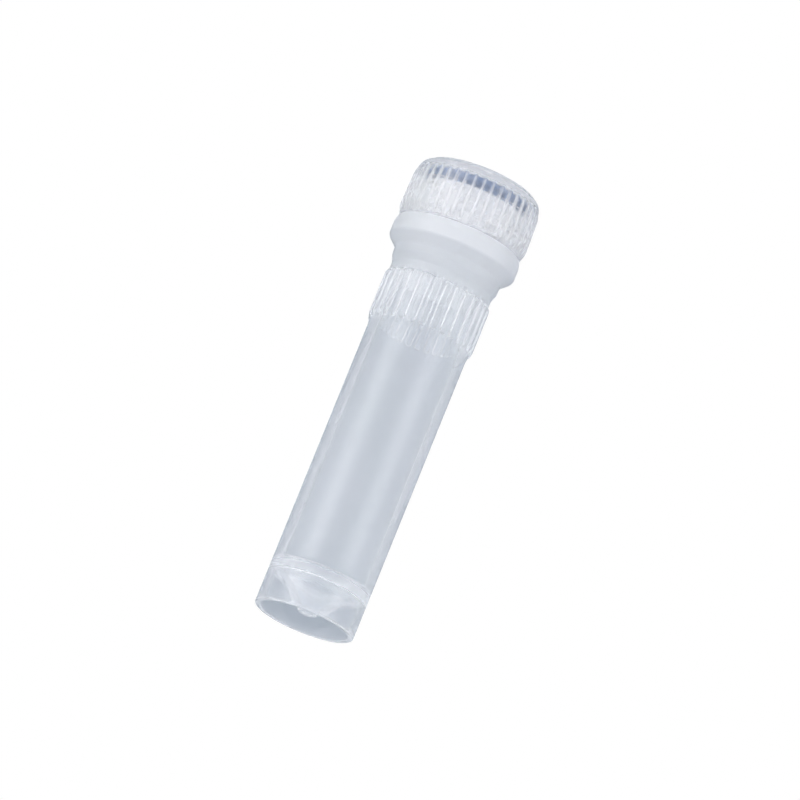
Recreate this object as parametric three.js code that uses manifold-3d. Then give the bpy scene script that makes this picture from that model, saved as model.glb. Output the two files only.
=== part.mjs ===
// Self-standing 2 ml screw-cap cryovial: a skirted tube, its ribbed screw cap and the sealing ring
// that the cap holds. Millimetres, +Z up. The origin is the centre of the skirt's foot, and the
// tube's mould parting plane is X = 0.

import * as THREE from 'three';
import { mergeVertices } from 'three/addons/utils/BufferGeometryUtils.js';
import Module from 'manifold-3d';

// ---------------------------------------------------------------- driving dimensions, mm

// Tube barrel and skirt
const BARREL_R = 5.09; // outside of barrel and skirt
const BORE_R = 4.15; // inside of barrel and neck
const SKIRT_BORE_R = 4.5; // inside of the skirt at its foot
const SKIRT_TOP_R = 4.45; // inside of the skirt where the recess ends
const FOOT_ROUND = 0.15;

// Conical floor, one point down, with a blunt moulded tip
const CONE_SLOPE = 0.966; // rise for each mm of radius, inside and out
const CONE_APEX_Z = -0.18; // where the outer cone would come to a point
const FLOOR_APEX_Z = 0.83; // where the inner cone would come to a point
const TIP_Z = 0.75; // underside of the blunt tip
const TIP_R = 0.55;
const RECESS_FILLET = 0.24; // between cone and skirt

// Knurled collar
const COLLAR_R = 5.4; // over the ribs
const COLLAR_ROOT_R = 5.15; // between the ribs
const COLLAR_Z0 = 29.9;
const COLLAR_Z1 = 35.45;
const COLLAR_RIBS = 30;
const COLLAR_RIB_FOOT = 0.76; // rib width at its root
const COLLAR_RIB_CREST = 0.56;

// Neck and smooth flange
const NECK_R = 5.2;
const NECK_TOP_R = 5.46;
const FLANGE_R = 6.46;
const FLANGE_Z0 = 37.95;
const FLANGE_Z1 = 40.8;

// Threaded neck
const ROOT_R = 4.95;
const RIM_Z = 44.85;
const THREAD_PITCH = 1.8; // right-handed
const THREAD_CREST_R = 5.3;
const THREAD_Z0 = 41.9; // ridge centre over the +X axis
const THREAD_TURNS = 1.25;
const THREAD_FOOT = 0.75; // ridge width at its root
const THREAD_TOP = 0.3; // ridge width at its crest

// Screw cap
const CAP_Z0 = 41.05;
const CAP_TOP_Z = 47.2;
const CAP_ROOT_R = 6.38; // between the ribs, at the rim
const CAP_RIB_RISE = 0.17;
const CAP_RIBS = 42;
const CAP_RIB_PHASE = 7.5; // degrees from -Y, anticlockwise seen from above
const CAP_RIB_FOOT = 0.42;
const CAP_RIB_CREST = 0.24;
const CAP_BORE_R = 5.52;
const CAP_SEAT_R = 5.45; // round the sealing ring
const CAP_CEILING_Z = 46.15;
const CAP_THREAD_CREST_R = 5.13;
const CAP_THREAD_TURNS = 1.0;

// Sealing ring
const RING_R = 4.78; // centre of its section
const RING_SECTION_R = 0.56;
const RING_Z = 45.53;

// Facets
const TUBE_SEGMENTS = 2 * COLLAR_RIBS;
const CAP_SEGMENTS = 2 * CAP_RIBS;
const RING_SEGMENTS = 48;
const FINEST = 0.004; // detail smaller than this is dropped

// ---------------------------------------------------------------- solids

const wasm = await Module();
wasm.setup();

const radians = (degrees) => (degrees * Math.PI) / 180;

// A body of revolution about +Z from [r, z] points that start and end on the axis or close on
// themselves, listed with the material on their left.
function revolve(points, segments, start = 0) {
  const profile = points.map(([r, z]) => new THREE.Vector2(r, z));
  const geometry = new THREE.LatheGeometry(profile, segments);
  geometry.rotateX(Math.PI / 2);
  geometry.rotateZ(start);
  return geometry;
}

function solid(geometry) {
  const bare = geometry.clone();
  bare.deleteAttribute('normal');
  bare.deleteAttribute('uv');
  const merged = mergeVertices(bare, 1e-5);
  const keep = [];
  const index = merged.index.array;
  for (let i = 0; i < index.length; i += 3) {
    const [a, b, c] = [index[i], index[i + 1], index[i + 2]];
    if (a !== b && b !== c && c !== a) keep.push(a, b, c);
  }
  return new wasm.Manifold(
    new wasm.Mesh({
      numProp: 3,
      vertProperties: Float32Array.from(merged.attributes.position.array),
      triVerts: Uint32Array.from(keep),
    }),
  );
}

function geometryOf(manifold) {
  const mesh = manifold.simplify(FINEST).getMesh();
  const geometry = new THREE.BufferGeometry();
  geometry.setAttribute('position', new THREE.BufferAttribute(mesh.vertProperties, 3));
  geometry.setIndex(new THREE.BufferAttribute(mesh.triVerts, 1));
  const flat = geometry.toNonIndexed();
  flat.computeVertexNormals();
  return flat;
}

// A bar lofted through four-cornered sections. Each section lists its corners anticlockwise as
// seen looking back along the bar from its far end.
function loft(sections) {
  const points = sections.flat(2);
  const index = [];
  for (let i = 0; i + 1 < sections.length; i++) {
    for (let k = 0; k < 4; k++) {
      const a = 4 * i + k;
      const b = 4 * i + ((k + 1) % 4);
      index.push(a, b, b + 4, a, b + 4, a + 4);
    }
  }
  const e = 4 * (sections.length - 1);
  index.push(0, 2, 1, 0, 3, 2, e, e + 1, e + 2, e, e + 2, e + 3);
  const geometry = new THREE.BufferGeometry();
  geometry.setAttribute('position', new THREE.Float32BufferAttribute(points, 3));
  geometry.setIndex(index);
  return geometry;
}

const at = (r, angle, z) => [r * Math.cos(angle), r * Math.sin(angle), z];

// A closed body whose rows, listed upwards as [z, root radius, rise], are circles with ribs that
// stand out by the row's rise. Each rib has a foot and a crest width. The rows close on the axis,
// or on a bore of radius core.
function ribbed(rows, { count, foot, crest, at: start, core = 0 }) {
  const angles = [];
  const crests = [];
  for (let i = 0; i < count; i++) {
    const middle = start + (i * 2 * Math.PI) / count;
    const halfFoot = foot / 2 / rows[1][1];
    const halfCrest = crest / 2 / rows[1][1];
    angles.push(middle - halfFoot, middle - halfCrest, middle + halfCrest, middle + halfFoot);
    crests.push(0, 1, 1, 0);
  }
  const n = angles.length;
  const points = [];
  for (const [z, root, rise] of rows) {
    angles.forEach((angle, k) => points.push(...at(root + rise * crests[k], angle, z)));
  }
  const index = [];
  const quads = (low, high) => {
    for (let k = 0; k < n; k++) {
      const next = (k + 1) % n;
      index.push(low + k, low + next, high + next, low + k, high + next, high + k);
    }
  };
  for (let i = 0; i + 1 < rows.length; i++) quads(i * n, (i + 1) * n);
  const last = (rows.length - 1) * n;
  if (core) {
    for (const z of [rows[0][0], rows[rows.length - 1][0]]) {
      angles.forEach((angle) => points.push(...at(core, angle, z)));
    }
    quads(last + n, 0);
    quads(last, last + 2 * n);
    quads(last + 2 * n, last + n);
  } else {
    points.push(0, 0, rows[0][0], 0, 0, rows[rows.length - 1][0]);
    for (let k = 0; k < n; k++) {
      const next = (k + 1) % n;
      index.push(next, k, last + n, last + k, last + next, last + n + 1);
    }
  }
  const geometry = new THREE.BufferGeometry();
  geometry.setAttribute('position', new THREE.Float32BufferAttribute(points, 3));
  geometry.setIndex(index);
  return geometry;
}

// A right-handed helical ridge on a wall of radius wall. It stands out to crest, outwards or
// inwards, is buried in the wall to root, and runs out into the wall at both ends.
function ridge({ wall, crest, root, z0, turns, step, start, foot, top }) {
  const steps = Math.round((turns * 2 * Math.PI) / step);
  const fade = Math.round(radians(40) / step);
  const sections = [];
  for (let i = 0; i <= steps; i++) {
    const share = Math.min(1, i / fade, (steps - i) / fade);
    const sunk = wall - 0.08 * Math.sign(crest - wall);
    const r = THREE.MathUtils.lerp(sunk, crest, share);
    const angle = start + i * step;
    const z = z0 + (THREAD_PITCH * angle) / (2 * Math.PI);
    const full = Math.abs(root - wall) + Math.abs(crest - wall);
    const grow = (foot - top) / Math.abs(crest - wall);
    const halfRoot = (foot + grow * Math.abs(root - wall) * 0.5) / 2;
    const halfTop = THREE.MathUtils.lerp(
      halfRoot, top / 2, Math.abs(r - root) / full);
    const section = [
      at(root, angle, z - halfRoot),
      at(root, angle, z + halfRoot),
      at(r, angle, z + halfTop),
      at(r, angle, z - halfTop),
    ];
    sections.push(crest > wall ? section : section.reverse());
  }
  return loft(sections);
}

const arc = (r, z, radius, from, to, n) =>
  Array.from({ length: n + 1 }, (_, i) => {
    const a = radians(from + ((to - from) * i) / n);
    return [r + radius * Math.cos(a), z + radius * Math.sin(a)];
  });

// ---------------------------------------------------------------- tube

// Fillet between the skirt's inner wall and the cone: the two meet at half the cone's angle.
const coneHalf = Math.atan(1 / CONE_SLOPE);
const recessTopZ = CONE_APEX_Z + CONE_SLOPE * SKIRT_TOP_R;
const reach = RECESS_FILLET / Math.tan(coneHalf / 2);
const filletR = SKIRT_TOP_R - RECESS_FILLET;
const filletZ = recessTopZ - reach;
const coneTangent = 180 - THREE.MathUtils.radToDeg(coneHalf);

const floorRound = 1.2;
const floorCentreZ = FLOOR_APEX_Z + floorRound / Math.sin(coneHalf);
const floorEdge = THREE.MathUtils.radToDeg(coneHalf);

const tubeProfile = [
  [0, TIP_Z],
  [TIP_R, TIP_Z],
  [0.9, CONE_APEX_Z + CONE_SLOPE * 0.9 + 0.08],
  ...arc(filletR, filletZ, RECESS_FILLET, coneTangent, 0, 4),
  [SKIRT_BORE_R, FOOT_ROUND],
  ...arc(SKIRT_BORE_R + FOOT_ROUND, FOOT_ROUND, FOOT_ROUND, 225, 270, 1),
  ...arc(BARREL_R - FOOT_ROUND, FOOT_ROUND, FOOT_ROUND, 270, 360, 2),
  [BARREL_R, COLLAR_Z1 - 0.25],
  [NECK_R, COLLAR_Z1 - 0.24],
  [NECK_R, 36.3],
  [5.38, 36.9],
  [NECK_TOP_R, 37.2],
  [NECK_TOP_R, 37.8],
  [5.56, FLANGE_Z0],
  [6.24, FLANGE_Z0 + 0.66],
  [FLANGE_R - 0.06, FLANGE_Z0 + 0.92],
  [FLANGE_R, FLANGE_Z0 + 1.2],
  [FLANGE_R, FLANGE_Z1 - 0.42],
  [FLANGE_R - 0.14, FLANGE_Z1 - 0.08],
  [FLANGE_R - 0.3, FLANGE_Z1],
  [ROOT_R + 0.25, FLANGE_Z1],
  [ROOT_R, FLANGE_Z1 + 0.25],
  [ROOT_R, RIM_Z - 0.3],
  ...arc(ROOT_R - 0.25, RIM_Z - 0.25, 0.25, 45, 90, 1),
  ...arc(BORE_R + 0.2, RIM_Z - 0.2, 0.2, 90, 180, 2),
  [BORE_R, FLOOR_APEX_Z + CONE_SLOPE * BORE_R],
  ...arc(0, floorCentreZ, floorRound, -floorEdge, -90, 3).slice(0, 3),
  [0, floorCentreZ - floorRound],
];

const collarRows = [
  [COLLAR_Z0, BARREL_R - 0.05, 0],
  [COLLAR_Z0 + 0.4, COLLAR_ROOT_R, 0.12],
  [COLLAR_Z0 + 0.9, COLLAR_ROOT_R, COLLAR_R - COLLAR_ROOT_R],
  [COLLAR_Z1 - 0.12, COLLAR_ROOT_R, COLLAR_R - COLLAR_ROOT_R],
  [COLLAR_Z1, COLLAR_ROOT_R - 0.02, COLLAR_R - COLLAR_ROOT_R - 0.08],
];

const TUBE_STEP = (2 * Math.PI) / TUBE_SEGMENTS;
const tubeParts = [solid(revolve(tubeProfile, TUBE_SEGMENTS))];
// a groove lies on the parting plane, so each rib stands half a pitch from it
tubeParts.push(solid(ribbed(collarRows, {
  count: COLLAR_RIBS, foot: COLLAR_RIB_FOOT, crest: COLLAR_RIB_CREST,
  at: Math.PI / COLLAR_RIBS, core: BORE_R + 0.4,
})));
tubeParts.push(solid(ridge({
  wall: ROOT_R, crest: THREAD_CREST_R, root: ROOT_R - 0.35, z0: THREAD_Z0,
  turns: THREAD_TURNS, step: TUBE_STEP, start: TUBE_STEP / 2, foot: THREAD_FOOT,
  top: THREAD_TOP,
})));
const tube = wasm.Manifold.union(tubeParts);

// ---------------------------------------------------------------- screw cap

// Outside of the cap from the rim up into the rounded top edge, where the ribs die out.
const capRows = [
  [CAP_Z0, CAP_ROOT_R - 0.16, 0],
  [CAP_Z0 + 0.28, CAP_ROOT_R + 0.03, CAP_RIB_RISE],
  [42.3, CAP_ROOT_R, CAP_RIB_RISE],
  [44.7, CAP_ROOT_R - 0.05, CAP_RIB_RISE],
  [45.3, 6.25, CAP_RIB_RISE],
  [45.8, 6.15, CAP_RIB_RISE],
  [46.25, 5.99, CAP_RIB_RISE - 0.03],
  [46.65, 5.75, 0.06],
  [46.95, 5.4, 0],
  [47.13, 4.9, 0],
  [CAP_TOP_Z, 4.2, 0],
];

const capCavity = [
  [0, CAP_Z0 - 1],
  [CAP_BORE_R + 0.2, CAP_Z0 - 1],
  [CAP_BORE_R + 0.2, CAP_Z0 + 0.05],
  [CAP_BORE_R, CAP_Z0 + 0.25],
  [CAP_BORE_R, 44.8],
  [CAP_SEAT_R, 44.95],
  [CAP_SEAT_R, CAP_CEILING_Z - 0.2],
  [CAP_SEAT_R - 0.2, CAP_CEILING_Z],
  [0, CAP_CEILING_Z],
];

const capStart = radians(-90 + CAP_RIB_PHASE);
const CAP_STEP = (2 * Math.PI) / CAP_SEGMENTS;
const capBlank = solid(ribbed(capRows, {
  count: CAP_RIBS, foot: CAP_RIB_FOOT, crest: CAP_RIB_CREST, at: capStart,
}));
const capShell = capBlank.subtract(solid(revolve(capCavity, CAP_SEGMENTS, capStart)));
// The cap's thread lies half a pitch above the tube's, so that its flanks stay clear.
const capThread = solid(ridge({
  wall: CAP_BORE_R, crest: CAP_THREAD_CREST_R, root: CAP_BORE_R + 0.35,
  z0: THREAD_Z0 + THREAD_PITCH / 2, turns: CAP_THREAD_TURNS, step: CAP_STEP,
  start: -Math.PI / 2, foot: THREAD_FOOT, top: THREAD_TOP,
}));
const cap = capShell.add(capThread);

// ---------------------------------------------------------------- sealing ring

const ringProfile = arc(RING_R, RING_Z, RING_SECTION_R, 0, 360, 12);
ringProfile[ringProfile.length - 1] = ringProfile[0];
const ring = revolve(ringProfile, RING_SEGMENTS);

// ---------------------------------------------------------------- assembly

const clearPlastic = new THREE.MeshStandardMaterial({
  color: 0xc9d3e0, roughness: 0.32, metalness: 0, transparent: true, opacity: 0.55,
});
const capPlastic = new THREE.MeshStandardMaterial({
  color: 0xdde2ec, roughness: 0.35, metalness: 0, transparent: true, opacity: 0.6,
});
const seal = new THREE.MeshStandardMaterial({ color: 0x6a7f9d, roughness: 0.6, metalness: 0 });

function named(name, geometry, material) {
  const mesh = new THREE.Mesh(geometry, material);
  mesh.name = name;
  return mesh;
}

const vial = new THREE.Group();
vial.name = 'cryovial';
const closure = new THREE.Group();
closure.name = 'closure';
closure.add(named('screw_cap', geometryOf(cap), capPlastic));
closure.add(named('sealing_ring', ring, seal));
vial.add(named('vial_tube', geometryOf(tube), clearPlastic));
vial.add(closure);

export default vial;
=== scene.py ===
import math

import bpy
import numpy as np
from mathutils import Matrix, Vector


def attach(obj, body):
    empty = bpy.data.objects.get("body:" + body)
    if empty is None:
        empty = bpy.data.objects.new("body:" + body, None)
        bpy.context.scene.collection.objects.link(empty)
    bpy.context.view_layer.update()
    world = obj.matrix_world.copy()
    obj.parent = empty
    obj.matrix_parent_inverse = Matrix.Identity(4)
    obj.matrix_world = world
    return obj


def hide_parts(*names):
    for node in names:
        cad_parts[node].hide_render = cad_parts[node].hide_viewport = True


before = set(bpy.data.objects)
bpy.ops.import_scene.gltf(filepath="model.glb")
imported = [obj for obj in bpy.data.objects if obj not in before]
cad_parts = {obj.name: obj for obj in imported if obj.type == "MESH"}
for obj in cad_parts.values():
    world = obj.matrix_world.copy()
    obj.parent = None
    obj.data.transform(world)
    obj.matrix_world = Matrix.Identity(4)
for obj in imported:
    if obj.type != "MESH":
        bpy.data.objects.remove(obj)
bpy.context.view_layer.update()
MM = 0.001

# ------------------------------------------------------------------ camera

LEAN = math.radians(22.1)  # how far the vial leans in the picture
BELOW = math.radians(14.3)  # the camera looks up from this far under the horizon
SIDE = math.radians(3.3)  # the parting plane stands this far right of the view
REACH = 1.2  # camera to object
FIELD = 0.0770  # width of the picture at the object


def make_camera():
    back = Vector((-math.sin(SIDE) * math.cos(BELOW), -math.cos(SIDE) * math.cos(BELOW), -math.sin(BELOW)))
    right = (-back).cross(Vector((0, 0, 1))).normalized()
    up = back.cross(right).normalized()
    turned_right = math.cos(LEAN) * right + math.sin(LEAN) * up
    turned_up = -math.sin(LEAN) * right + math.cos(LEAN) * up
    data = bpy.data.cameras.new("camera")
    data.sensor_width = 36
    data.lens = 36 * REACH / FIELD
    data.clip_start, data.clip_end = 0.05, 30
    cam = bpy.data.objects.new("camera", data)
    bpy.context.scene.collection.objects.link(cam)
    target = Vector((0, 0, 0.02383)) + right * 0.00058
    axes = Matrix((turned_right, turned_up, back)).transposed()
    cam.matrix_world = Matrix.Translation(target + back * REACH) @ axes.to_4x4()
    bpy.context.scene.camera = cam


make_camera()

# ------------------------------------------------------------------ mesh tools


def rounded(corners, steps=5):
    """A polyline through (r, z, fillet) corners, each rounded to its fillet radius."""
    out = []
    for i, corner in enumerate(corners):
        p = np.array(corner[:2], float)
        f = corner[2] if len(corner) > 2 else 0
        if not f or i in (0, len(corners) - 1):
            out.append(tuple(p))
            continue
        a = np.array(corners[i - 1][:2], float) - p
        b = np.array(corners[i + 1][:2], float) - p
        la, lb = np.hypot(*a), np.hypot(*b)
        a, b = a / la, b / lb
        half = math.acos(max(-1, min(1, float(a @ b)))) / 2
        reach = min(f / math.tan(half), 0.49 * la, 0.49 * lb)
        radius = reach * math.tan(half)
        middle = (a + b) / np.hypot(*(a + b))
        centre = p + middle * radius / math.sin(half)
        s, e = p + a * reach - centre, p + b * reach - centre
        a0 = math.atan2(s[1], s[0])
        turn = (math.atan2(e[1], e[0]) - a0 + math.pi) % (2 * math.pi) - math.pi
        for k in range(steps + 1):
            w = a0 + turn * k / steps
            out.append((centre[0] + radius * math.cos(w), centre[1] + radius * math.sin(w)))
    return out


def finer(line, step, low=-1e9, high=1e9):
    """Adds points to each segment between heights low and high, so that none is longer than step."""
    out = [line[0]]
    for (r0, z0), (r1, z1) in zip(line, line[1:]):
        length = math.hypot(r1 - r0, z1 - z0)
        n = 1
        if length > step and max(z0, z1) > low and min(z0, z1) < high:
            n = math.ceil(length / step)
        out += [(r0 + (r1 - r0) * k / n, z0 + (z1 - z0) * k / n) for k in range(1, n + 1)]
    return out


def joined(a, low, b, high):
    """Faces between a row that starts at point a with the angles low and the next one, at b with high.
    Both rows start at the same angle."""
    if low is high:
        n = len(low)
        return [(a + k, a + (k + 1) % n, b + (k + 1) % n, b + k) for k in range(n)]
    faces = []
    i = j = 0
    full = 2 * math.pi
    while i < len(low) or j < len(high):
        next_low = low[i + 1] - low[0] if i + 1 < len(low) else full
        next_high = high[j + 1] - high[0] if j + 1 < len(high) else full
        if j == len(high) or (i < len(low) and next_low <= next_high):
            faces.append((a + i, a + (i + 1) % len(low), b + j % len(high)))
            i += 1
        else:
            faces.append((a + i % len(low), b + (j + 1) % len(high), b + j))
            j += 1
    return faces


def turned(name, rows, angles_of, shape):
    """A closed body from rows of (r, z, tag) that start and end on the axis. angles_of(r, z, tag) gives
    the angles of one row and shape(r, z, tag, angles) its radii."""
    points = [(0, 0, rows[0][1])]
    starts, sets = [], []
    for r, z, tag in rows[1:-1]:
        angles = angles_of(r, z, tag)
        radii = shape(r, z, tag, angles)
        starts.append(len(points))
        sets.append(angles)
        points += list(zip(radii * np.cos(angles), radii * np.sin(angles), np.full(len(angles), float(z))))
    points.append((0, 0, rows[-1][1]))
    faces = []
    n = len(sets[0])
    faces += [(0, 1 + (k + 1) % n, 1 + k) for k in range(n)]
    n = len(sets[-1])
    faces += [(starts[-1] + k, starts[-1] + (k + 1) % n, len(points) - 1) for k in range(n)]
    for i in range(len(sets) - 1):
        faces += joined(starts[i], sets[i], starts[i + 1], sets[i + 1])
    mesh = bpy.data.meshes.new(name)
    mesh.from_pydata([tuple(MM * float(x) for x in p) for p in points], [], faces)
    mesh.update()
    mesh.shade_smooth()
    obj = bpy.data.objects.new(name, mesh)
    bpy.context.scene.collection.objects.link(obj)
    return obj


def smooth(x, low, high):
    """0 at low, 1 at high, with level ends."""
    t = np.clip((x - low) / (high - low), 0, 1)
    return t * t * (3 - 2 * t)


def wrapped(a):
    return (a + math.pi) % (2 * math.pi) - math.pi


# Angles of one row, closer together where the walls of the ribs stand.
def ribbed_angles(count, start, half):
    pitch = 2 * math.pi / count
    one = np.radians(half)
    cell = np.concatenate([one, (pitch - one[1:-1])[::-1]])
    return np.concatenate([start + i * pitch + cell for i in range(count)])


# ------------------------------------------------------------------ tube

BARREL = 5.05
COLLAR_PITCH = 2 * math.pi / 30
GROOVE_AT = -math.pi / 2  # a groove lies on the parting plane
PITCH = 1.8


def thread(angles, z, z0, first, turns, crest, foot, top, fade=math.radians(40)):
    """Height of a right-handed helical ridge at each angle of a row, from 0 to crest."""
    out = np.zeros_like(angles)
    for lap in range(-1, int(turns) + 3):
        along = (angles % (2 * math.pi)) + lap * 2 * math.pi
        centre = z0 + PITCH * along / (2 * math.pi)
        gone = np.minimum(along - first, first + turns * 2 * math.pi - along)
        share = smooth(gone, 0, fade)
        away = np.abs(z - centre)
        section = 1 - smooth(away, top / 2, foot / 2)
        out = np.maximum(out, crest * share * section)
    return out


def shape_tube():
    cone = 0.966
    low = rounded([
        (0, 0.62), (0.42, 0.62, 0.12), (0.52, 0.76, 0.08), (0.88, 0.775, 0.12),
        (4.46, -0.18 + cone * 4.46, 0.35), (4.48, 0.0, 0.12), (BARREL, 0.0, 0.2), (BARREL, 29.3),
    ], 6)
    low = finer(low, 1.6)
    collar = [(BARREL, z) for z in (*np.arange(29.45, 31.2, 0.085), 31.6, 33.0, 34.6, 34.95, 35.05, 35.12)]
    collar += [(BARREL, z) for z in (35.18, 35.23, 35.27, 35.3)]
    high = rounded([
        (5.16, 35.32), (5.13, 36.3, 0.3), (5.42, 37.1, 0.35), (5.44, 37.84, 0.1), (5.5, 37.98, 0.08),
        (6.33, 38.8, 0.12), (6.45, 39.0, 0.5), (6.45, 40.15, 0.6), (6.3, 40.8, 0.1), (4.95, 40.8, 0.2), (4.95, 41.1),
    ], 7)
    high = finer(high, 0.5)
    neck = [(4.95, z) for z in np.arange(41.18, 44.5, 0.075)]
    rim = rounded([(4.95, 44.5), (4.95, 44.85, 0.28), (4.15, 44.85, 0.22), (4.15, 43.9)], 6)
    bore = rounded([(4.15, 43.8), (4.15, 0.83 + cone * 4.15, 0.82), (0.6, 0.83 + cone * 0.6, 1.1), (0, 0.83 + 0.45)], 6)
    bore = finer(bore, 2.5)
    rows = [(r, z, "low") for r, z in low]
    rows += [(r, z, "collar") for r, z in collar]
    rows += [(r, z, "high") for r, z in high]
    rows += [(r, z, "neck") for r, z in neck]
    rows += [(r, z, "rim") for r, z in rim]
    rows += [(r, z, "bore") for r, z in bore]
    return rows


def tube_radii(r, z, tag, angles):
    out = np.full(len(angles), float(r))
    seam = np.minimum(np.abs(wrapped(angles + math.pi / 2)), np.abs(wrapped(angles - math.pi / 2))) * r
    if tag == "collar":
        # ribs with arched lower ends on a ramp, and a short rounded top
        cell = (angles - GROOVE_AT) % COLLAR_PITCH
        across = np.abs(cell - COLLAR_PITCH / 2)  # from the rib's middle
        half = math.radians(3.6)
        side = (across - half) * 5.3
        arch_r = half * 5.3
        arch_z = 30.25 + arch_r
        below = np.maximum(arch_z - z, 0)
        edge = np.where(below > 0, np.hypot(across * 5.3, below) - arch_r, side)
        rib = 1 - smooth(edge, -0.055, 0.055)
        crown = 0.035 * (1 - (across / half) ** 2).clip(0, 1)
        base = BARREL + 0.06 * smooth(z, 29.5, 30.3)
        ramp = BARREL + 0.31 * smooth(z, 29.35, 31.1)
        crest = np.minimum(5.345 + crown, ramp + crown * smooth(z, 29.6, 31))
        out = base + np.maximum(crest - base, 0) * rib
        top = smooth(z, 35.1, 35.31)
        out = out - top * top * 0.12
        out = np.maximum(out, BARREL)
    elif tag == "high" and 35.3 < z < 40.7 and r > 5:
        out = out + 0.03 * (1 - smooth(seam, 0.0, 0.1))
    elif tag == "neck":
        out = out + thread(angles, z, 41.9, 0.05, 1.25, 0.35, 0.78, 0.3)
    elif tag == "low" and r > 5 and z > 0.3:
        out = out + 0.006 * (1 - smooth(seam, 0.0, 0.12))
    return out


# ------------------------------------------------------------------ cap

CAP_PITCH = 2 * math.pi / 42
CAP_START = math.radians(-90 + 7.5)
RIB_HALF = 2.0  # half a rib, in degrees


def shape_cap():
    top = rounded([
        (0, 47.16), (0.7, 47.16, 0.06), (0.78, 47.2, 0.06), (4.3, 47.2, 0.5), (5.3, 47.12, 0.8), (6.05, 46.6, 0.5),
        (6.26, 46.05, 0.5), (6.265, 45.4, 0.5), (6.3, 44.4, 0.8), (6.37, 42.0, 0.8), (6.2, 40.86, 0.08),
        (5.72, 40.86, 0.08), (5.52, 41.28, 0.12), (5.52, 41.5),
    ], 6)
    top = finer(top, 0.55, 41.0, 47.0)
    inside = [(5.52, z) for z in np.arange(41.58, 44.7, 0.08)]
    seat = rounded([
        (5.52, 44.72), (5.52, 44.85, 0.08), (5.45, 44.98, 0.08), (5.45, 46.15, 0.2), (4.0, 46.15, 0.1), (3.9, 46.05, 0.1), (0, 46.05),
    ], 5)
    seat = finer(seat, 1.5)
    rows = [(r, z, "out") for r, z in top]
    rows += [(r, z, "in") for r, z in inside]
    rows += [(r, z, "seat") for r, z in seat]
    return rows[::-1]


def cap_radii(r, z, tag, angles):
    out = np.full(len(angles), float(r))
    if tag == "out" and r > 5.8:
        cell = (angles - CAP_START) % CAP_PITCH
        across = np.minimum(cell, CAP_PITCH - cell) / math.radians(RIB_HALF)
        rib = np.sqrt(np.clip(1 - across ** 2, 0, 1)) ** 1.2
        rise = 0.165 * smooth(z, 41.1, 41.8) * (1 - smooth(z, 45.3, 46.1))
        out = out + rise * rib
    elif tag == "in":
        out = out - thread(angles, z, 42.8, -math.pi / 2, 1.0, 0.37, 0.78, 0.3)
    return out


# ------------------------------------------------------------------ pieces

TUBE_FINE = ribbed_angles(30, GROOVE_AT, [0, 1.2, 1.7, 1.95, 2.2, 2.4, 2.6, 2.85, 3.1, 3.6, 4.6, 6.0])
TUBE_PLAIN = GROOVE_AT + 2 * math.pi * np.arange(288) / 288
CAP_FINE = ribbed_angles(42, CAP_START, [0, 0.5, 1.0, 1.35, 1.65, 1.85, 1.97, 2.0, 2.4, 3.2, 360 / 84])
CAP_PLAIN = CAP_START + 2 * math.pi * np.arange(336) / 336


def tube_angles(r, z, tag):
    return TUBE_FINE if tag == "collar" else TUBE_PLAIN


def cap_angles(r, z, tag):
    return CAP_FINE if tag == "out" and r > 5.8 and z < 46.3 else CAP_PLAIN


tube = turned("tube_moulding", shape_tube(), tube_angles, tube_radii)
cap = turned("cap_moulding", shape_cap(), cap_angles, cap_radii)


def ring_mesh():
    across, around = 40, 192
    points, faces = [], []
    for i in range(around):
        a = 2 * math.pi * i / around
        for k in range(across):
            b = 2 * math.pi * k / across
            r = 4.78 + 0.555 * math.cos(b)
            z = 45.53 + 0.545 * math.sin(b)
            points.append((r * math.cos(a) * MM, r * math.sin(a) * MM, z * MM))
    for i in range(around):
        for k in range(across):
            a, b = i * across, ((i + 1) % around) * across
            m = (k + 1) % across
            faces.append((a + k, b + k, b + m, a + m))
    mesh = bpy.data.meshes.new("ring_moulding")
    mesh.from_pydata(points, [], faces)
    mesh.update()
    mesh.shade_smooth()
    obj = bpy.data.objects.new("ring_moulding", mesh)
    bpy.context.scene.collection.objects.link(obj)
    return obj


ring = ring_mesh()

# ------------------------------------------------------------------ materials


def new_material(name):
    mat = bpy.data.materials.new(name)
    mat.use_nodes = True
    nt = mat.node_tree
    return mat, nt, nt.nodes["Principled BSDF"]


def add(nt, kind, **values):
    node = nt.nodes.new(kind)
    for key, value in values.items():
        setattr(node, key, value)
    return node


def noise(nt, coords, scale, detail=3.0, stretch=None):
    n = add(nt, "ShaderNodeTexNoise")
    n.inputs["Scale"].default_value = scale
    n.inputs["Detail"].default_value = detail
    source = coords
    if stretch:
        m = add(nt, "ShaderNodeMapping")
        m.inputs["Scale"].default_value = stretch
        nt.links.new(coords, m.inputs["Vector"])
        source = m.outputs["Vector"]
    nt.links.new(source, n.inputs["Vector"])
    return n.outputs["Fac"]


def spread(nt, value, low, high, a=0.35, b=0.65):
    m = add(nt, "ShaderNodeMapRange")
    m.inputs["From Min"].default_value = a
    m.inputs["From Max"].default_value = b
    m.inputs["To Min"].default_value = low
    m.inputs["To Max"].default_value = high
    nt.links.new(value, m.inputs["Value"])
    return m.outputs["Result"]


def colours(nt, value, stops):
    ramp = add(nt, "ShaderNodeValToRGB")
    el = ramp.color_ramp.elements
    while len(el) < len(stops):
        el.new(0.5)
    for e, (p, c) in zip(el, stops):
        e.position = p
        e.color = (*c, 1)
    nt.links.new(value, ramp.inputs["Fac"])
    return ramp.outputs["Color"]


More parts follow.
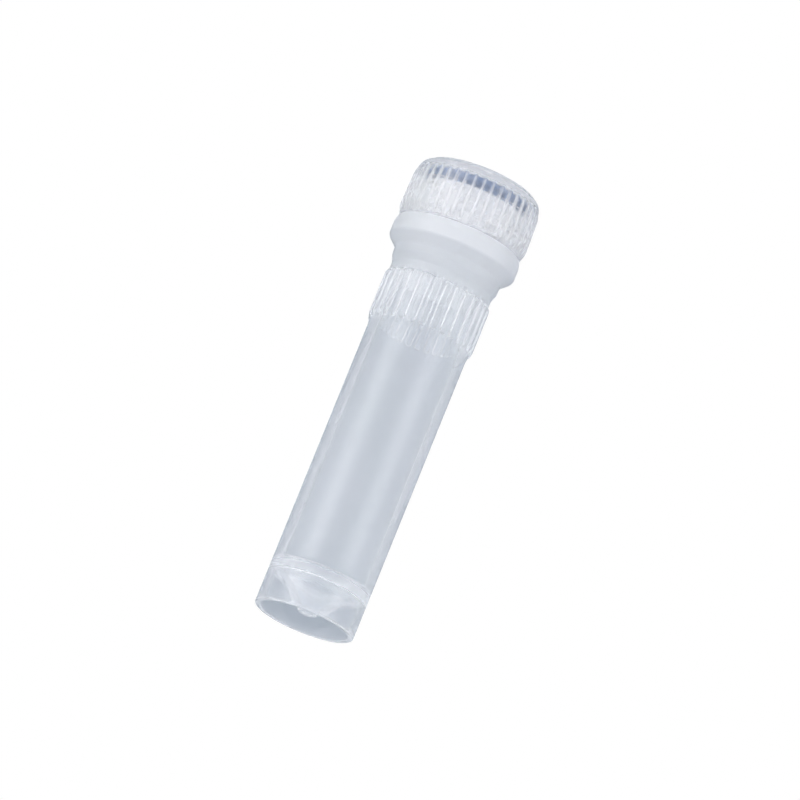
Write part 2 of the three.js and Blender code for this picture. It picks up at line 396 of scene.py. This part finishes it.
def by_height(nt, where, steps):
    """A value that follows height (millimetres), blended linearly between the (height, value) steps."""
    z = add(nt, "ShaderNodeSeparateXYZ")
    nt.links.new(where, z.inputs[0])
    low, high = steps[0][0] * MM, steps[-1][0] * MM
    at = spread(nt, z.outputs["Z"], 0.0, 1.0, low, high)
    stops = [((h * MM - low) / (high - low), (v, v, v)) for h, v in steps]
    return colours(nt, at, stops)


def times(nt, a, b):
    m = add(nt, "ShaderNodeMath", operation="MULTIPLY")
    nt.links.new(a, m.inputs[0])
    nt.links.new(b, m.inputs[1])
    return m.outputs[0]


def math_node(nt, operation, *values):
    m = add(nt, "ShaderNodeMath", operation=operation)
    for socket, value in zip(m.inputs, values):
        if isinstance(value, (int, float)):
            socket.default_value = value
        else:
            nt.links.new(value, socket)
    return m.outputs[0]


def painted_rib_highlights_and_flow_marks(nt, where):
    """How clear the cap's wall is: painted highlights, the walls of its ribs whitened so that they let less light
    through.
    """
    split = add(nt, "ShaderNodeSeparateXYZ")
    nt.links.new(where, split.inputs[0])
    x, y = split.outputs[0], split.outputs[1]
    turn = math_node(nt, "ARCTAN2", y, x)
    cell = math_node(nt, "FRACT", math_node(nt, "MULTIPLY_ADD", turn, 1 / CAP_PITCH, 40.5 - CAP_START / CAP_PITCH))
    from_rib = math_node(nt, "ABSOLUTE", math_node(nt, "SUBTRACT", cell, 0.5))
    # painted highlight: whitens the walls of the cap's ribs
    on_wall = spread(nt, from_rib, 1.0, 0.0, 0.6 / 360 * 42, 1.5 / 360 * 42)
    outside = math_node(nt, "GREATER_THAN", math_node(nt, "SQRT", math_node(
        nt, "ADD", math_node(nt, "MULTIPLY", x, x), math_node(nt, "MULTIPLY", y, y))), 5.9 * MM)
    level = by_height(nt, where, [(41, 0.0), (41.7, 0.2), (44.4, 0.25), (45.0, 0.27), (45.75, 0.27), (46.05, 0.0)])
    mask = math_node(nt, "MULTIPLY", math_node(nt, "MULTIPLY", on_wall, outside), level)
    # the flanks of the thread inside, and the flow marks between them
    lap = math_node(nt, "MULTIPLY_ADD", split.outputs[2], 2 / (PITCH * MM), 0.4)
    lap = math_node(nt, "FRACT", math_node(nt, "SUBTRACT", lap, math_node(nt, "MULTIPLY", turn, 1 / math.pi)))
    flank = spread(nt, math_node(nt, "ABSOLUTE", math_node(nt, "SUBTRACT", lap, 0.5)), 1.0, 0.0, 0.03, 0.2)
    flank = math_node(nt, "MULTIPLY", flank, by_height(nt, where, [(41, 0.07), (44.3, 0.07), (44.6, 0.0)]))
    marks = noise(nt, where, 1100, 1.0, (1, 1, 0.6))
    marks = times(nt, spread(nt, marks, 0.0, 1.0, 0.45, 0.62), by_height(nt, where, [(41, 0.1), (44.0, 0.1), (44.6, 0.0)]))
    mask = math_node(nt, "MAXIMUM", mask, math_node(nt, "MAXIMUM", flank, marks))
    return math_node(nt, "SUBTRACT", 1.0, mask)


def painted_collar_edge_highlights(nt, where):
    """How clear the tube's wall is: painted highlights on the side walls of its collar's ribs, which let a little less
    light through there so that they show whiter.
    """
    split = add(nt, "ShaderNodeSeparateXYZ")
    nt.links.new(where, split.inputs[0])
    x, y = split.outputs[0], split.outputs[1]
    turn = math_node(nt, "ARCTAN2", y, x)
    cell = math_node(nt, "FRACT", math_node(nt, "MULTIPLY_ADD", turn, 1 / COLLAR_PITCH, 40.5 - GROOVE_AT / COLLAR_PITCH))
    from_groove = math_node(nt, "ABSOLUTE", math_node(nt, "SUBTRACT", cell, 0.5))
    off_edge = math_node(nt, "ABSOLUTE", math_node(nt, "SUBTRACT", from_groove, 2.4 / 12))
    # painted highlight: whitens the side walls of the collar's ribs
    on_edge = spread(nt, off_edge, 1.0, 0.0, 0.15 / 12, 0.8 / 12)
    outside = math_node(nt, "GREATER_THAN", math_node(nt, "SQRT", math_node(
        nt, "ADD", math_node(nt, "MULTIPLY", x, x), math_node(nt, "MULTIPLY", y, y))), 4.9 * MM)
    level = by_height(nt, where, [(30.1, 0.0), (30.5, 0.16), (31.1, 0.3), (32.2, 0.42), (33.5, 0.45), (34.9, 0.35), (35.25, 0.0)])
    mask = math_node(nt, "MULTIPLY", math_node(nt, "MULTIPLY", on_edge, outside), level)
    return math_node(nt, "SUBTRACT", 1.0, mask)


def plastic(name, tint, milky, clear, rough, haze, painted_highlights=None):
    """Milky moulded plastic. clear and rough are (height, value) steps; the last argument whitens the walls of the ribs
    as painted highlights.
    """
    mat, nt, p = new_material(name)
    where = add(nt, "ShaderNodeTexCoord").outputs["Object"]
    cloud = noise(nt, where, 260, 4.0, (1, 1, 0.35))
    flow = noise(nt, where, 420, 2.0, (1, 1, 0.25))
    nt.links.new(colours(nt, cloud, [(0.3, milky), (0.7, tint)]), p.inputs["Base Color"])
    nt.links.new(times(nt, by_height(nt, where, rough), spread(nt, cloud, 0.8, 1.2)), p.inputs["Roughness"])
    clearness = times(nt, by_height(nt, where, clear), spread(nt, cloud, 0.985, 1.0))
    # painted highlights on the rib walls lower the clearness there
    if painted_highlights:
        clearness = times(nt, clearness, painted_highlights(nt, where))
    nt.links.new(clearness, p.inputs["Transmission Weight"])
    p.inputs["IOR"].default_value = 1.49
    bump = add(nt, "ShaderNodeBump")
    bump.inputs["Strength"].default_value = 0.005
    bump.inputs["Distance"].default_value = 0.00003
    nt.links.new(flow, bump.inputs["Height"])
    nt.links.new(bump.outputs["Normal"], p.inputs["Normal"])
    if haze:
        inside = add(nt, "ShaderNodeVolumeScatter")
        inside.inputs["Color"].default_value = (1, 1, 1, 1)
        inside.inputs["Density"].default_value = haze
        inside.inputs["Anisotropy"].default_value = 0.35
        nt.links.new(inside.outputs[0], nt.nodes["Material Output"].inputs["Volume"])
    return mat


def rubber(name):
    mat, nt, p = new_material(name)
    where = add(nt, "ShaderNodeTexCoord").outputs["Object"]
    cloud = noise(nt, where, 900, 4.0)
    fine = noise(nt, where, 9000, 2.0)
    nt.links.new(colours(nt, cloud, [(0.3, (0.008, 0.066, 0.19)), (0.7, (0.018, 0.094, 0.25))]), p.inputs["Base Color"])
    nt.links.new(spread(nt, fine, 0.42, 0.58), p.inputs["Roughness"])
    bump = add(nt, "ShaderNodeBump")
    bump.inputs["Strength"].default_value = 0.25
    bump.inputs["Distance"].default_value = 0.00002
    nt.links.new(fine, bump.inputs["Height"])
    nt.links.new(bump.outputs["Normal"], p.inputs["Normal"])
    return mat


TUBE_CLEAR = [(0, 0.86), (0.3, 0.92), (0.6, 0.99), (28, 0.99), (30.5, 0.975), (32.6, 0.96), (33.6, 0.83), (35.3, 0.83),
              (36.4, 0.9), (37.6, 0.9), (38.3, 0.7), (41, 0.7), (45, 0.9)]
TUBE_ROUGH = [(0, 0.06), (0.9, 0.12), (3.1, 0.14), (3.7, 0.32), (4.15, 0.38), (4.4, 0.2), (5.4, 0.18), (6.0, 0.13), (27, 0.12), (28.5, 0.04), (31.3, 0.04), (32.6, 0.09),
              (33.8, 0.2), (35.2, 0.22), (35.5, 0.36), (36.6, 0.36), (38, 0.4), (41, 0.45), (45, 0.4)]
CAP_CLEAR = [(40, 0.8), (44.3, 0.8), (44.9, 0.985), (46.2, 0.985), (46.8, 0.96)]
CAP_ROUGH = [(40, 0.15), (44.4, 0.14), (44.9, 0.06), (46.1, 0.07), (46.5, 0.16), (47.2, 0.2)]
tube.data.materials.append(plastic("tube_pp", (0.972, 0.987, 0.988), (0.98, 0.984, 0.998), TUBE_CLEAR, TUBE_ROUGH, 200, painted_collar_edge_highlights))
cap.data.materials.append(plastic("cap_pp", (0.985, 0.99, 0.985), (0.99, 0.985, 0.995), CAP_CLEAR, CAP_ROUGH, 190, painted_rib_highlights_and_flow_marks))
ring.data.materials.append(rubber("seal_rubber"))

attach(tube, "vial")
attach(ring, "seal")
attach(cap, "cap")
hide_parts("vial_tube")
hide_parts("sealing_ring")
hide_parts("screw_cap")

# ------------------------------------------------------------------ studio


def make_floor():
    mat, nt, p = new_material("floor")
    where = add(nt, "ShaderNodeTexCoord").outputs["Object"]
    fine = noise(nt, where, 60, 3.0)
    nt.links.new(colours(nt, fine, [(0.3, (0.53, 0.545, 0.57)), (0.7, (0.55, 0.565, 0.59))]), p.inputs["Base Color"])
    p.inputs["Roughness"].default_value = 0.8
    mesh = bpy.data.meshes.new("floor")
    s = 3.0
    mesh.from_pydata([(-s, -s, 0), (s, -s, 0), (s, s, 0), (-s, s, 0)], [], [(0, 1, 2, 3)])
    obj = bpy.data.objects.new("floor", mesh)
    obj.location = (0, 0, -1.12)
    bpy.context.scene.collection.objects.link(obj)
    mesh.materials.append(mat)


# The light tent: (colour, (azimuth, elevation), tightness). Azimuth 0 is the main camera's side, 90 is
# +X, and a lobe of tightness 8 is about 40 degrees across.
TENT = [
    ((0.14, 0.195, 0.266), None, 0),
    ((1.03, 0.985, 0.965), (0, 0), 1.4),
    ((2.3, 2.25, 2.21), (-56, 20), 11.5),
    ((1.35, 1.3, 1.3), (50, 20), 15),
    ((0.52, 0.5, 0.5), (0, 80), 2.5),
    ((0.36, 0.345, 0.33), (-112, 22), 4.5),
    ((0.34, 0.325, 0.31), (112, 22), 4.5),
]


def make_world():
    world = bpy.data.worlds.new("studio")
    bpy.context.scene.world = world
    world.use_nodes = True
    nt = world.node_tree
    nt.nodes.clear()
    way = add(nt, "ShaderNodeTexCoord").outputs["Generated"]
    total = None
    for colour, towards, tight in TENT:
        strength = None
        if towards:
            az, el = map(math.radians, towards)
            dot = add(nt, "ShaderNodeVectorMath", operation="DOT_PRODUCT")
            nt.links.new(way, dot.inputs[0])
            dot.inputs[1].default_value = (math.sin(az) * math.cos(el), -math.cos(az) * math.cos(el), math.sin(el))
            fall = add(nt, "ShaderNodeMath", operation="MULTIPLY_ADD")
            nt.links.new(dot.outputs["Value"], fall.inputs[0])
            fall.inputs[1].default_value = tight
            fall.inputs[2].default_value = -tight
            power = add(nt, "ShaderNodeMath", operation="EXPONENT")
            nt.links.new(fall.outputs[0], power.inputs[0])
            strength = power.outputs[0]
        part = add(nt, "ShaderNodeVectorMath", operation="MULTIPLY_ADD")
        part.inputs[0].default_value = colour
        part.inputs[1].default_value = (1, 1, 1)
        if strength:
            nt.links.new(strength, part.inputs[1])
        if total:
            nt.links.new(total, part.inputs[2])
        total = part.outputs["Vector"]
    lit = add(nt, "ShaderNodeBackground")
    nt.links.new(total, lit.inputs["Color"])
    seen = add(nt, "ShaderNodeBackground")
    seen.inputs["Color"].default_value = (1, 1, 1, 1)
    path = add(nt, "ShaderNodeLightPath")
    mix = add(nt, "ShaderNodeMixShader")
    nt.links.new(path.outputs["Is Camera Ray"], mix.inputs["Fac"])
    nt.links.new(lit.outputs["Background"], mix.inputs[1])
    nt.links.new(seen.outputs["Background"], mix.inputs[2])
    nt.links.new(mix.outputs["Shader"], add(nt, "ShaderNodeOutputWorld").inputs["Surface"])


make_floor()
make_world()

scene = bpy.context.scene
scene.view_settings.view_transform = "Standard"
scene.cycles.max_bounces = 64
scene.cycles.transmission_bounces = 64
scene.cycles.glossy_bounces = 64
scene.cycles.volume_bounces = 32
scene.cycles.blur_glossy = 0.0
scene.cycles.use_denoising = True
